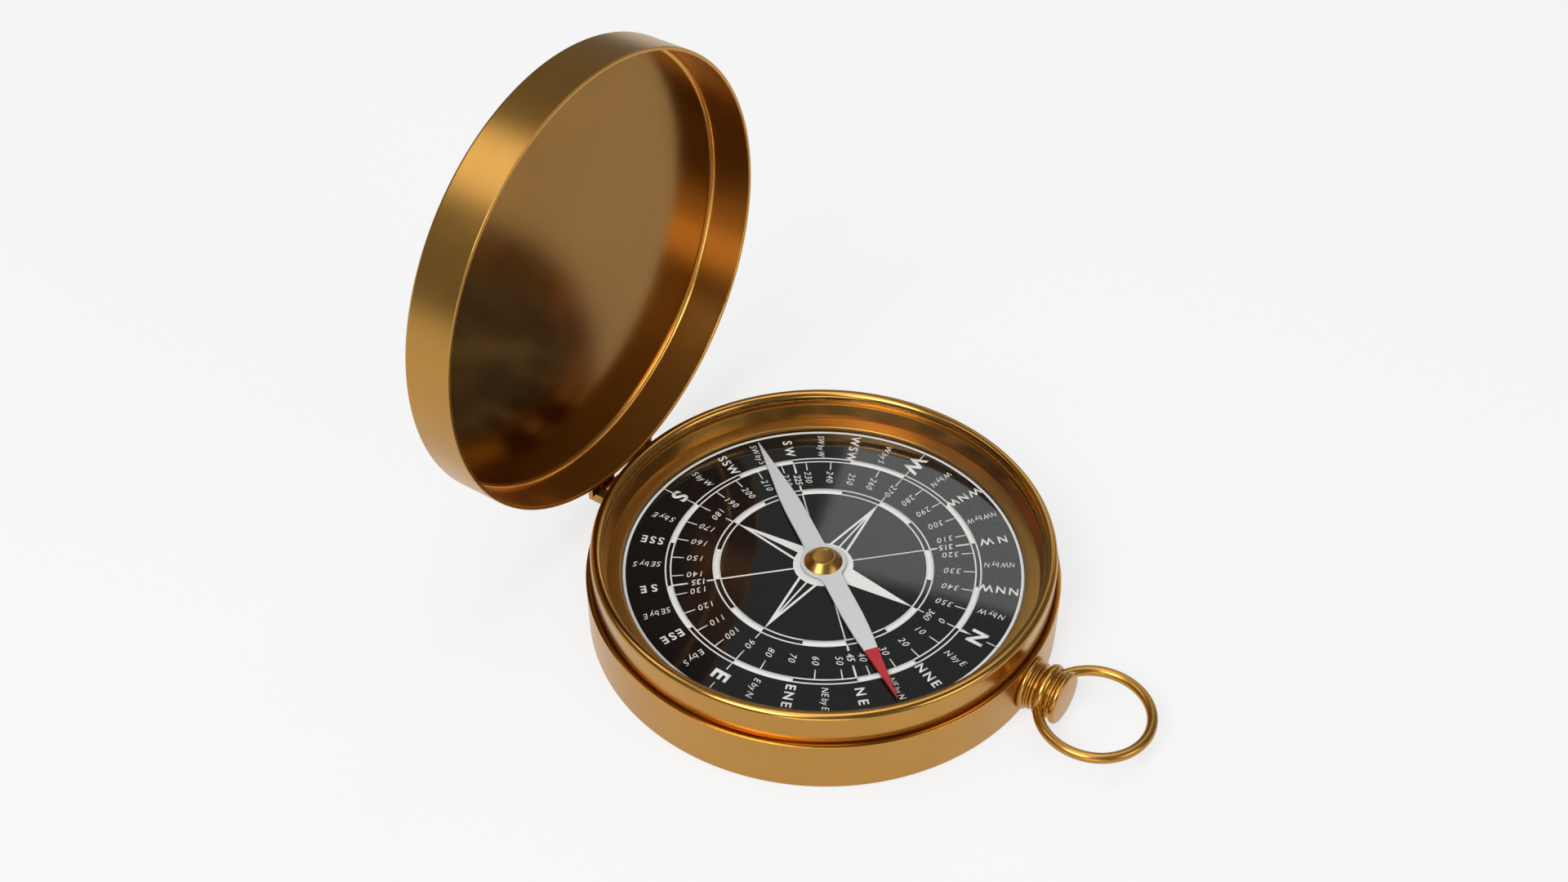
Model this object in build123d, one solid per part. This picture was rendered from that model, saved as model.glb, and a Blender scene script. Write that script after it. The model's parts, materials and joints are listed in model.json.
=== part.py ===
"""Pocket compass: brass case with a hinged lid, a free needle under glass, and a pendant with a bow.

Millimetres, +Z up. The origin is the centre of the base. The lid hinge is at +Y, the pendant at -Y.
The dial's north faces the pendant. The lid is shown open, upright behind the case.
"""
import os
from math import sqrt

from build123d import *

# Case cup
case_radius = 30.0
case_wall = 1.2
case_floor = 1.0
case_edge_round = 0.4
ledge_rise = 0.3            # top of the cup above the dial's face

# Dial and what carries it
base_plate_thickness = 1.0
base_plate_gap = 0.5        # air between the base plate and the pendant's shank
spacer_height = 4.5
spacer_wall = 1.2
dial_thickness = 0.5
dial_slip = 0.3
dial_bore_slip = 0.1

# Rings over the dial
dial_ring_width = 1.85      # top face of the dial ring
dial_ring_height = 0.85
dial_ring_slope = 0.2       # fall of the dial ring's top face
dial_ring_bevel = 0.2
reflector_inset = 0.45      # how far the reflector leans in at its foot
ring_slip = 0.05

# Crystal
crystal_thickness = 0.7
crystal_slip = 0.1
gasket_thickness = 0.1
gasket_width = 0.25

# Bezel ring
bezel_nose = 0.75           # radius of the round rim
bezel_wall = 1.15
bezel_skirt = 0.95          # length of the skirt inside the cup
bezel_lip = 0.2             # straight edge of the lip, under the round rim

# Pivot
post_radius = 1.5
post_drop = 0.2             # post below the dial's face
post_flange_radius = 2.5
post_flange = 0.6
post_rivet_radius = 1.0
pin_radius = 0.4
pin_depth = 2.0             # how deep the pin sits in the post
pin_point = 0.6
pin_tip_radius = 0.03
pin_tip_rise = 0.3          # pin's tip above the needle
pivot_gap = 0.05

# Needle
needle_lift = 0.3           # needle above the dial
needle_thickness = 0.35
needle_end_gap = 1.3        # from the needle's tips to the dial ring
needle_tip_half_width = 0.06
needle_half_width = 1.32
needle_taper_at = 11.6      # distance from the centre where the blade starts to narrow
needle_hub_radius = 2.9
needle_bearing = 35.6       # degrees clockwise from the dial's north

# Needle cap and jewel
cap_base_radius = 2.5
cap_top_radius = 1.5
cap_crown = 0.3             # brass over the jewel
cap_dish_radius = 1.25
cap_dish = 0.12
cap_boss_radius = 1.3
cap_boss_drop = 0.2         # how far the boss shows below the needle
cap_bore_radius = 0.8
cap_headroom = 1.35         # air between the cap and the crystal
jewel_radius = 1.0
jewel_height = 0.75
jewel_cup_radius = 0.7
jewel_cup_depth = 0.45
jewel_apex_radius = 0.05

# Lid
lid_wall = 0.5
lid_slip = 0.25             # air between the closed lid and the bezel
lid_panel = 0.6
lid_headroom = 1.75         # air between the bezel and the closed lid's panel
lid_rim_gap = 0.1           # air between the closed lid and the ledge
lid_inner_round = 0.6
lid_edge_round = 0.5
lid_lip_bevel = 0.08
lid_open_angle = 90.0

# Hinge
hinge_offset = 1.0          # hinge axis outside the case wall
hinge_drop = 0.3            # hinge axis below the ledge
hinge_pin_radius = 0.4
hinge_pin_slip = 0.05
hinge_inner_end = 1.8       # distance of each hinge block's inner end from the middle
knuckle_width = 1.5
knuckle_gap = 0.1
knuckle_radius = 0.8
ear_reach = 0.87            # stop faces out from the axis
ear_drop = 0.65
ear_top_gap = 0.12          # air between the ears and the closed lid's leaf
ear_root_drop = 0.1         # ears' roots below the ledge
ear_lid_gap = 0.3
ear_notch = 0.5             # width of the ears' slanted top corner
leaf_stop_gap = 0.03
leaf_thickness = 0.72

# Pendant
bead_radius = 3.5
bead_width = 1.4
groove_depth = 0.65         # grooves below the bead
groove_width = 0.1
wide_groove_width = 0.3
foot_rise = 0.2             # foot's edge at the wall above the grooves
foot_bead_rise = 0.55
foot_bead_width = 0.65      # from the case wall out
collar_rise = 0.2
collar_width = 0.33
waist_dip = 0.3             # waist below the grooves
waist_width = 0.55
fillet_ring_rise = 0.22
fillet_ring_width = 0.45
end_disc_radius = 3.38
end_disc_overhang = 0.53    # end disc past its neck
end_disc_width = 0.8
end_disc_round = 0.35
shank_radius = 1.5
shank_slip = 0.05
shank_spare = 0.3           # shank past the nut
nut_flats = 4.0
nut_thickness = 1.6

# Bow
bow_wire_radius = 0.66
bow_radius = 6.82
bow_bend_radius = 0.8
bow_bend_depth = 0.25       # how deep in the bead the wire starts to bend
bow_stub_end = 1.6          # distance of the wire's ends from the middle
bow_bore_end_gap = 0.1
bow_slip = 0.08
bow_axis_out = 0.47         # bow axis out from the bead's widest place

# Heights that follow, from the floor up
base_plate_top = case_floor + base_plate_thickness
dial_base = base_plate_top + spacer_height
dial_height = dial_base + dial_thickness
dial_ring_top = dial_height + dial_ring_height
ledge_height = dial_height + ledge_rise
post_top = dial_height - post_drop
needle_underside = dial_height + needle_lift
needle_top = needle_underside + needle_thickness
pin_tip_height = needle_top + pin_tip_rise
jewel_cup_top = pin_tip_height + pivot_gap
jewel_base = jewel_cup_top - jewel_cup_depth
jewel_top = jewel_base + jewel_height
cap_top = jewel_top + cap_crown
crystal_base = cap_top + cap_headroom
crystal_top = crystal_base + crystal_thickness
lip_height = crystal_top + gasket_thickness
bezel_top = lip_height + bezel_lip + bezel_nose
lid_rim = ledge_height + lid_rim_gap
lid_top = bezel_top + lid_headroom + lid_panel
pendant_height = 0.5 * (case_floor + ledge_height - bezel_skirt)

# Radii that follow, from the case wall in
case_bore = case_radius - case_wall
lid_bore = case_radius - lid_wall
bezel_radius = lid_bore - lid_slip
bezel_bore = bezel_radius - bezel_wall
lip_radius = bezel_radius - 2 * bezel_nose
crystal_radius = bezel_bore - crystal_slip
ring_radius = bezel_bore - ring_slip
reflector_foot = lip_radius - reflector_inset
dial_opening = reflector_foot - dial_ring_width
dial_radius = bezel_bore - dial_slip
nut_face = case_bore - nut_thickness
shank_end = nut_face - shank_spare
base_plate_radius = shank_end - base_plate_gap
needle_half_length = dial_opening - needle_end_gap

# Hinge places
hinge_y = case_radius + hinge_offset
hinge_z = ledge_height - hinge_drop
hinge_axis = Axis((0, hinge_y, hinge_z), (-1, 0, 0))
knuckle_start = hinge_inner_end + knuckle_width + knuckle_gap
knuckle_end = knuckle_start + knuckle_width
hinge_outer_end = knuckle_end + knuckle_gap + knuckle_width

# Radii of the pendant
groove_radius = bead_radius - groove_depth
foot_radius = groove_radius + foot_rise
foot_bead_radius = groove_radius + foot_bead_rise
collar_radius = groove_radius + collar_rise
waist_radius = groove_radius - waist_dip
fillet_ring_radius = groove_radius + fillet_ring_rise
end_neck_radius = end_disc_radius - end_disc_overhang

# Places along the pendant, as distances out from the compass's middle
foot_start = sqrt(case_radius ** 2 - foot_bead_radius ** 2)
foot_end = case_radius + foot_bead_width
collar_start = foot_end + wide_groove_width
collar_end = collar_start + collar_width
waist_end = collar_end + waist_width
bead_end = waist_end + bead_width
fillet_ring_start = bead_end + groove_width
fillet_ring_end = fillet_ring_start + fillet_ring_width
end_disc_start = fillet_ring_end + wide_groove_width
pendant_end = end_disc_start + end_disc_width
bow_axis_y = -(0.5 * (waist_end + bead_end) + bow_axis_out)
bow_stub_start = bead_radius - bow_bend_depth


def turned(outline):
    """Solid of revolution about Z from a closed outline of edges in (radius, height)."""
    return revolve(Plane.XZ * make_face(outline), Axis.Z)


def turned_points(*points):
    """Solid of revolution about Z from the corners of its outline in (radius, height)."""
    return turned(Polyline(*points, close=True).edges())


def disc(radius, base, top):
    """Flat round disc from one height to another."""
    return Pos(0, 0, base) * Cylinder(radius, top - base, align=(Align.CENTER, Align.CENTER, Align.MIN))


def washer(radius, bore, base, top):
    """Flat ring from one height to another."""
    return disc(radius, base, top) - disc(bore, base, top)


def across(radius, start, end, y, z):
    """Round bar along X between two distances from the middle."""
    return extrude(Plane.YZ.offset(start) * Pos(y, z) * Circle(radius), end - start)


def along_pendant(radius, start, end):
    """Round bar along the pendant between two distances out from the compass's middle."""
    bar = extrude(Plane.XZ.offset(start) * Circle(radius), end - start)
    return Pos(0, 0, pendant_height) * bar


def block(start, end, *corners):
    """Flat-sided block along X from its corners in (Y, Z)."""
    face = Plane.YZ.offset(start) * make_face(Polyline(*corners, close=True).edges())
    return extrude(face, end - start)


def slab(start, end, y_low, z_low, y_high, z_high):
    """Square-cornered block along X."""
    return block(start, end, (y_low, z_low), (y_high, z_low), (y_high, z_high), (y_low, z_high))


def on_side(solid, side):
    """Right-hand pieces are drawn at +X, and the left ones are their mirror image."""
    return solid if side == "right" else mirror(solid, Plane.YZ)


def opened(solid):
    """Turn a solid that is drawn with the lid shut to where the open lid carries it."""
    return solid.rotate(hinge_axis, lid_open_angle)


# Case cup with a hole for the pendant's shank
def make_case_cup():
    cup = turned_points(
        (0, 0), (case_radius, 0), (case_radius, ledge_height),
        (case_bore, ledge_height), (case_bore, case_floor), (0, case_floor),
    )
    base_edge = cup.edges().filter_by(GeomType.CIRCLE).group_by(Axis.Z)[0]
    cup = fillet(base_edge, case_edge_round)
    return cup - along_pendant(shank_radius + shank_slip, shank_end, foot_end)


# Bezel ring: skirt in the cup, shoulder on its top, round rim and a lip over the crystal
def make_bezel_ring():
    nose_height = bezel_top - bezel_nose
    nose_middle = bezel_radius - bezel_nose
    skirt_end = ledge_height - bezel_skirt
    below = Polyline(
        (lip_radius, nose_height), (lip_radius, lip_height),
        (bezel_bore, lip_height), (bezel_bore, skirt_end),
        (case_bore, skirt_end), (case_bore, ledge_height),
        (bezel_radius, ledge_height), (bezel_radius, nose_height),
    )
    nose = ThreePointArc((bezel_radius, nose_height), (nose_middle, bezel_top), (lip_radius, nose_height))
    return turned(below.edges() + [nose.edge()])


def make_crystal_gasket():
    return washer(crystal_radius, crystal_radius - gasket_width, crystal_top, lip_height)


def make_crystal():
    return disc(crystal_radius, crystal_base, crystal_top)


# Reflector ring: the bright inner wall between the crystal and the dial ring
def make_reflector_ring():
    return turned_points(
        (ring_radius, dial_ring_top), (ring_radius, crystal_base),
        (lip_radius, crystal_base), (reflector_foot, dial_ring_top),
    )


# Dial ring: holds the dial down, with a sloped top and a bevelled inner edge
def make_dial_ring():
    return turned_points(
        (dial_opening, dial_height), (ring_radius, dial_height), (ring_radius, dial_ring_top),
        (reflector_foot, dial_ring_top), (dial_opening + dial_ring_bevel, dial_ring_top - dial_ring_slope),
    )


def make_dial_plate():
    return washer(dial_radius, post_radius + dial_bore_slip, dial_base, dial_height)


def make_spacer_ring():
    return washer(base_plate_radius, base_plate_radius - spacer_wall, base_plate_top, dial_base)


def make_base_plate():
    return washer(base_plate_radius, post_rivet_radius, case_floor, base_plate_top)


# Pivot post: rivet, flange and column, bored for the pin
def make_pivot_post():
    flange_top = base_plate_top + post_flange
    post = turned_points(
        (0, case_floor), (post_rivet_radius, case_floor), (post_rivet_radius, base_plate_top),
        (post_flange_radius, base_plate_top), (post_flange_radius, flange_top),
        (post_radius, flange_top), (post_radius, post_top), (0, post_top),
    )
    return post - disc(pin_radius, post_top - pin_depth, post_top)


def make_pivot_pin():
    pin_base = post_top - pin_depth
    return turned_points(
        (0, pin_base), (pin_radius, pin_base), (pin_radius, pin_tip_height - pin_point),
        (pin_tip_radius, pin_tip_height), (0, pin_tip_height),
    )


# Needle: two parallel blades from a round hub, tapered to their tips
def make_needle():
    upper = [
        (0, needle_half_width), (needle_taper_at, needle_half_width),
        (needle_half_length, needle_tip_half_width),
    ]
    lower = [(x, -y) for x, y in reversed(upper)]
    blade = make_face(Polyline(*upper, *lower, close=True).edges())
    plan = Circle(needle_hub_radius) + blade + Rot(0, 0, 180) * blade
    plan -= Circle(cap_boss_radius)
    flat = extrude(Pos(0, 0, needle_underside) * plan, needle_thickness)
    return Rot(0, 0, -90 - needle_bearing) * flat


# Needle cap: cone with a dished top, a boss through the needle and a seat for the jewel
def make_needle_cap():
    boss_end = needle_underside - cap_boss_drop
    cap = turned_points(
        (0, boss_end), (cap_boss_radius, boss_end), (cap_boss_radius, needle_top),
        (cap_base_radius, needle_top), (cap_top_radius, cap_top), (cap_dish_radius, cap_top),
        (cap_dish_radius, cap_top - cap_dish), (0, cap_top - cap_dish),
    )
    cap -= disc(cap_bore_radius, boss_end, jewel_base)
    return cap - disc(jewel_radius, jewel_base, jewel_top)


def make_needle_jewel():
    return turned_points(
        (jewel_cup_radius, jewel_base), (jewel_radius, jewel_base), (jewel_radius, jewel_top),
        (0, jewel_top), (0, jewel_cup_top), (jewel_apex_radius, jewel_cup_top),
    )


# Lid: drawn pan with a flat panel
def make_lid_shell():
    panel_face = lid_top - lid_panel
    pan = turned_points(
        (0, lid_top), (case_radius, lid_top), (case_radius, lid_rim),
        (lid_bore, lid_rim), (lid_bore, panel_face), (0, panel_face),
    )
    top_edge = pan.edges().filter_by(GeomType.CIRCLE).group_by(Axis.Z)[-1]
    pan = fillet(top_edge, lid_edge_round)
    corner = pan.edges().filter_by(GeomType.CIRCLE).filter_by_position(Axis.Z, panel_face, panel_face)
    pan = fillet(corner, lid_inner_round)
    rim_edges = pan.edges().filter_by(GeomType.CIRCLE).group_by(Axis.Z)[0]
    return opened(chamfer(rim_edges, lid_lip_bevel))


# Lid hinge: leaf on the lid's wall with its heel at the ears, and one knuckle on the pin
def make_lid_hinge(side):
    leaf_base = hinge_z + ear_reach + leaf_stop_gap
    leaf = slab(
        hinge_inner_end, hinge_outer_end,
        case_bore, leaf_base, hinge_y + ear_drop, leaf_base + leaf_thickness,
    )
    web = slab(knuckle_start, knuckle_end, hinge_y - ear_drop, hinge_z, hinge_y + ear_drop, leaf_base)
    barrel = across(knuckle_radius, knuckle_start, knuckle_end, hinge_y, hinge_z)
    lug = leaf + web + barrel
    lug -= disc(case_radius, lid_rim, lid_top)
    lug -= across(hinge_pin_radius + hinge_pin_slip, knuckle_start, knuckle_end, hinge_y, hinge_z)
    return opened(on_side(lug, side))


# Case hinge: two ears on the case wall, bored for the pin, cut back to stop the open lid's leaf
def make_case_hinge(side):
    root = case_bore
    root_top = ledge_height - ear_root_drop
    ear_base = hinge_z - ear_drop
    ear_top = hinge_z + ear_reach - ear_top_gap
    inner_face = case_radius + ear_lid_gap
    outer_face = hinge_y + ear_reach
    ear = [
        (root, ear_base), (outer_face + ear_reach, ear_base), (outer_face + ear_reach, hinge_z),
        (outer_face, hinge_z), (outer_face - ear_notch, ear_top),
        (inner_face, ear_top), (inner_face, root_top), (root, root_top),
    ]
    ears = block(hinge_inner_end, knuckle_start - knuckle_gap, *ear)
    ears += block(knuckle_end + knuckle_gap, hinge_outer_end, *ear)
    bridge_face = hinge_y - knuckle_radius - knuckle_gap
    ears += slab(hinge_inner_end, hinge_outer_end, root, ear_base, bridge_face, root_top)
    ears -= disc(case_radius, 0, ledge_height)
    ears -= across(hinge_pin_radius, hinge_inner_end, hinge_outer_end, hinge_y, hinge_z)
    stop_face = hinge_z + ear_reach
    stop_reach = hinge_offset + ear_reach + leaf_thickness
    stop = slab(
        hinge_inner_end, hinge_outer_end,
        hinge_y - stop_reach, stop_face, hinge_y + stop_reach, stop_face + stop_reach,
    )
    return on_side(ears - opened(stop), side)


def make_hinge_pin(side):
    return on_side(across(hinge_pin_radius, hinge_inner_end, hinge_outer_end, hinge_y, hinge_z), side)


def bulge(start, end, radius_start, radius_middle, radius_end):
    """Arc of a turned bead or waist between two places along the pendant."""
    return ThreePointArc((radius_start, -start), (radius_middle, -0.5 * (start + end)), (radius_end, -end))


# Pendant stem: turned profile along -Y, a shank through the wall, and cross bores for the bow
def make_pendant_stem():
    root = foot_start - case_wall
    outline = [
        Polyline(
            (end_neck_radius, -end_disc_start), (end_disc_radius, -end_disc_start),
            (end_disc_radius, -pendant_end), (0, -pendant_end),
            (0, -root), (foot_radius, -root), (foot_radius, -foot_start),
        ),
        bulge(foot_start, foot_end, foot_radius, foot_bead_radius, groove_radius),
        Line((groove_radius, -foot_end), (groove_radius, -collar_start)),
        bulge(collar_start, collar_end, groove_radius, collar_radius, groove_radius),
        bulge(collar_end, waist_end, groove_radius, waist_radius, groove_radius),
        bulge(waist_end, bead_end, groove_radius, bead_radius, groove_radius),
        Line((groove_radius, -bead_end), (groove_radius, -fillet_ring_start)),
        bulge(fillet_ring_start, fillet_ring_end, groove_radius, fillet_ring_radius, groove_radius),
        Line((groove_radius, -fillet_ring_end), (end_neck_radius, -end_disc_start)),
    ]
    stem = revolve(make_face(Curve() + outline), Axis.Y)
    for place in (-pendant_end, -end_disc_start):
        rims = stem.edges().filter_by(GeomType.CIRCLE).filter_by_position(Axis.Y, place, place)
        stem = fillet(rims.sort_by(SortBy.RADIUS)[-1:], end_disc_round)
    stem = Pos(0, 0, pendant_height) * stem
    stem -= disc(case_radius, -foot_bead_radius, ledge_height + foot_bead_radius)
    stem += along_pendant(shank_radius, shank_end, foot_end)
    bore = across(
        bow_wire_radius + bow_slip, bow_stub_end - bow_bore_end_gap, bead_radius,
        bow_axis_y, pendant_height,
    )
    return stem - bore - mirror(bore, Plane.YZ)


# Pendant nut: hexagon nut inside the wall, its face shaped to the cup
def make_pendant_nut():
    hexagon = RegularPolygon(nut_flats / 2, 6, major_radius=False) - Circle(shank_radius)
    nut = extrude(Plane.XZ.offset(nut_face) * Pos(0, pendant_height) * hexagon, nut_thickness)
    return nut & disc(case_bore, 0, ledge_height)


# Bow: wire ring with its two ends turned into the stem's cross bores
def make_bow_ring():
    bend_to_ring = bow_radius - bow_bend_radius
    ring_middle = bow_bend_radius + sqrt(bend_to_ring ** 2 - bow_stub_start ** 2)
    join_x = bow_stub_start * bow_radius / bend_to_ring
    join_y = ring_middle - (ring_middle - bow_bend_radius) * bow_radius / bend_to_ring
    bend_turn = 0.5 * (1 - (ring_middle - join_y) / bow_radius)
    bend_x = bow_stub_start + bow_bend_radius * sqrt(bend_turn)
    bend_y = bow_bend_radius - bow_bend_radius * sqrt(1 - bend_turn)
    path = [
        Line((-bow_stub_end, 0), (-bow_stub_start, 0)),
        ThreePointArc((-bow_stub_start, 0), (-bend_x, bend_y), (-join_x, join_y)),
        ThreePointArc((-join_x, join_y), (0, ring_middle + bow_radius), (join_x, join_y)),
        ThreePointArc((join_x, join_y), (bend_x, bend_y), (bow_stub_start, 0)),
        Line((bow_stub_start, 0), (bow_stub_end, 0)),
    ]
    wire = Wire([part.edge() for part in path])
    section = Plane((-bow_stub_end, 0, 0), x_dir=(0, 1, 0), z_dir=(-1, 0, 0)) * Circle(bow_wire_radius)
    ring = Rot(0, 0, 180) * sweep(section, path=wire)
    return Pos(0, bow_axis_y, pendant_height) * ring


parts = {
    "case_cup": make_case_cup(),
    "bezel_ring": make_bezel_ring(),
    "crystal_gasket": make_crystal_gasket(),
    "crystal": make_crystal(),
    "reflector_ring": make_reflector_ring(),
    "dial_ring": make_dial_ring(),
    "dial_plate": make_dial_plate(),
    "spacer_ring": make_spacer_ring(),
    "base_plate": make_base_plate(),
    "pivot_post": make_pivot_post(),
    "pivot_pin": make_pivot_pin(),
    "needle": make_needle(),
    "needle_cap": make_needle_cap(),
    "needle_jewel": make_needle_jewel(),
    "lid_shell": make_lid_shell(),
    "pendant_stem": make_pendant_stem(),
    "pendant_nut": make_pendant_nut(),
    "bow_ring": make_bow_ring(),
}
for hand in ("left", "right"):
    parts[f"case_hinge_{hand}"] = make_case_hinge(hand)
    parts[f"lid_hinge_{hand}"] = make_lid_hinge(hand)
    parts[f"hinge_pin_{hand}"] = make_hinge_pin(hand)

os.makedirs("parts", exist_ok=True)
for node, solid in parts.items():
    export_step(solid, f"parts/{node}.step")
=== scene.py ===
"""Looks of the pocket compass: brass case and lid, printed dial, needle, glass, pendant and bow.

Metres, in the frame of the CAD model: +Z up, lid hinge at +Y, pendant at -Y.
Names that end in _mm are millimetres.
"""
import json
import math

import bmesh
import bpy
from mathutils import Matrix, Vector


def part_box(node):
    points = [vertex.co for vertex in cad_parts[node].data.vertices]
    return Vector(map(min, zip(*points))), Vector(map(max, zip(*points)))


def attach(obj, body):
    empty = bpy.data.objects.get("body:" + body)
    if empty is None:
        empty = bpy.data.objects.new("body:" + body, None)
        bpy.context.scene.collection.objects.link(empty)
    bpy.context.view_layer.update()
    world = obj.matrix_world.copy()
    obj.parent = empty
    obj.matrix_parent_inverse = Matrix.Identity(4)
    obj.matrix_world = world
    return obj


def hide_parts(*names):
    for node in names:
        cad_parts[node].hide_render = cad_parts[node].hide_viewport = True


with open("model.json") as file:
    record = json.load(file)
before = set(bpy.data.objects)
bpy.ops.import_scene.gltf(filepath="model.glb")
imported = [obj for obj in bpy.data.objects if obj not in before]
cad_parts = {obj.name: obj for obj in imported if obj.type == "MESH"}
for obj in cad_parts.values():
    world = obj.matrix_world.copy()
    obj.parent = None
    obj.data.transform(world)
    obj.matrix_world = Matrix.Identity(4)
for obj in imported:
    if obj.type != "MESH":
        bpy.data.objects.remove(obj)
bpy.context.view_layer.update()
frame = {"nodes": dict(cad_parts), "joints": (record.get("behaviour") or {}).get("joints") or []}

MM = 0.001
FULL_TURN = 2 * math.pi
ROUND_STEPS = 288           # steps round a large turned piece
SMALL_ROUND_STEPS = 96      # steps round a small turned piece
ARC_STEPS = 12              # steps along a bead or a waist
NOSE_STEPS = 24             # steps over the bezel's rim
HALF_HUB_STEPS = 32         # steps along half of the needle's hub
FILLET_STEPS = 8            # steps along the needle's fillets and the bow's bends
CORNER_STEPS = 4            # steps round a corner of an outline
EDGE_STEPS = 2              # steps across a softened edge
MERGE = 1e-7                # corners closer than this, in metres, are one
LEVEL = 1e-6                # heights closer than this, in metres, are the same
FLAT_ANGLE = math.radians(1)
SHARP_ANGLE = math.radians(30)
NEEDLE_RIM_ANGLE = math.radians(60)


# Places read from the CAD nodes, in millimetres

def low(node):
    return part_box(node)[0] / MM


def high(node):
    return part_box(node)[1] / MM


case_radius_mm = high("case_cup").x
ledge_mm = high("case_cup").z
bezel_radius_mm = high("bezel_ring").x
bezel_top_mm = high("bezel_ring").z
skirt_end_mm = low("bezel_ring").z
crystal_base_mm = low("crystal").z
crystal_top_mm = high("crystal").z
crystal_radius_mm = high("crystal").x
dial_base_mm = low("dial_plate").z
dial_top_mm = high("dial_plate").z
dial_radius_mm = high("dial_plate").x
dial_ring_top_mm = high("dial_ring").z
ring_radius_mm = high("dial_ring").x
needle_base_mm = low("needle").z
needle_top_mm = high("needle").z
cap_base_mm = low("needle_cap").z
cap_top_mm = high("needle_cap").z
lid_rim_mm = low("lid_shell").y
lid_back_mm = high("lid_shell").y
lid_radius_mm = high("lid_shell").x
lid_middle_mm = 0.5 * (low("lid_shell").z + high("lid_shell").z)
joints = {joint["name"]: joint for joint in frame["joints"]}
bow_pivot = Vector(joints["bow_swing"]["pos_m"])
pendant_height_mm = bow_pivot.z / MM
pendant_end_mm = -low("pendant_stem").y
shank_end_mm = -high("pendant_stem").y

# Case, bezel and the rings round the dial
case_wall_mm = 1.2
case_floor_mm = 1.0
case_edge_round_mm = 0.4
ledge_edge_round_mm = 0.05
bezel_nose_mm = 0.75
bezel_wall_mm = 1.15
bezel_foot_round_mm = 0.02
reflector_inset_mm = 0.45
reflector_step_mm = 0.1
dial_ring_slope_mm = 0.2
dial_ring_bevel_mm = 0.2
dial_opening_mm = 25.45
dial_ring_round_mm = 0.1
glass_gap_mm = 0.01
fine_round_mm = 0.05

# Lid
lid_wall_mm = 0.5
lid_panel_mm = 0.6
lid_edge_round_mm = 0.5
lid_inner_round_mm = 0.6
lid_lip_round_mm = 0.14

# Hinge
hinge_edge_mm = 0.06

# Needle and cap
needle_bearing = math.radians(35.6)
needle_tip_half_mm = 0.06
needle_half_mm = 1.32
needle_taper_at_mm = 11.6
needle_half_length_mm = 24.15
needle_hub_mm = 2.9
needle_hub_round_mm = 1.3
needle_taper_round_mm = 2.5
needle_edge_round_mm = 0.08
red_tip_from_mm = 15.9
cap_foot_mm = 2.5
cap_crown_mm = 1.5
cap_dish_mm = 1.25
cap_dish_depth_mm = 0.12
cap_boss_mm = 1.3
cap_bore_mm = 0.8
cap_seat_mm = 1.0
cap_seat_base_mm = low("needle_jewel").z
cap_seat_top_mm = high("needle_jewel").z
cap_round_mm = 0.08

# Pendant
shank_mm = 1.5
foot_mm = 3.05
foot_bead_mm = 3.4
groove_mm = 2.85
collar_mm = 3.05
waist_mm = 2.55
bead_mm = 3.5
fillet_ring_mm = 3.07
end_disc_mm = 3.38
end_disc_round_mm = 0.35
foot_reach_mm = 0.65
groove_width_mm = 0.3
collar_length_mm = 0.33
waist_length_mm = 0.55
bead_length_mm = 1.4
fillet_ring_gap_mm = 0.1
fillet_ring_length_mm = 0.45
foot_start_mm = math.sqrt(case_radius_mm ** 2 - foot_bead_mm ** 2)
foot_end_mm = case_radius_mm + foot_reach_mm
collar_start_mm = foot_end_mm + groove_width_mm
collar_end_mm = collar_start_mm + collar_length_mm
waist_end_mm = collar_end_mm + waist_length_mm
bead_end_mm = waist_end_mm + bead_length_mm
fillet_ring_start_mm = bead_end_mm + fillet_ring_gap_mm
fillet_ring_end_mm = fillet_ring_start_mm + fillet_ring_length_mm
end_disc_start_mm = fillet_ring_end_mm + groove_width_mm

# Bow
bow_wire_mm = 0.66
bow_radius_mm = 6.82
bow_bend_mm = 0.8
bow_stub_end_mm = 1.6
bow_stub_inset_mm = 0.25
bow_stub_start_mm = bead_mm - bow_stub_inset_mm
WIRE_SIDES = 32
BOW_STEPS = 160             # steps round the bow's ring


# Mesh helpers

def arc(start, middle, end, steps=ARC_STEPS):
    """Corners along the round arc from start through middle to end, as (radius, height) pairs."""
    a, b, c = Vector(start), Vector(middle), Vector(end)
    d = 2 * (a.x * (b.y - c.y) + b.x * (c.y - a.y) + c.x * (a.y - b.y))
    aa, bb, cc = a.length_squared, b.length_squared, c.length_squared
    centre = Vector((
        (aa * (b.y - c.y) + bb * (c.y - a.y) + cc * (a.y - b.y)) / d,
        (aa * (c.x - b.x) + bb * (a.x - c.x) + cc * (b.x - a.x)) / d,
    ))
    first = a - centre
    half = first.angle_signed(b - centre)
    rest = (b - centre).angle_signed(c - centre)
    turn = -(half + rest)
    return [centre + Matrix.Rotation(turn * i / steps, 2) @ first for i in range(steps + 1)]


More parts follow.
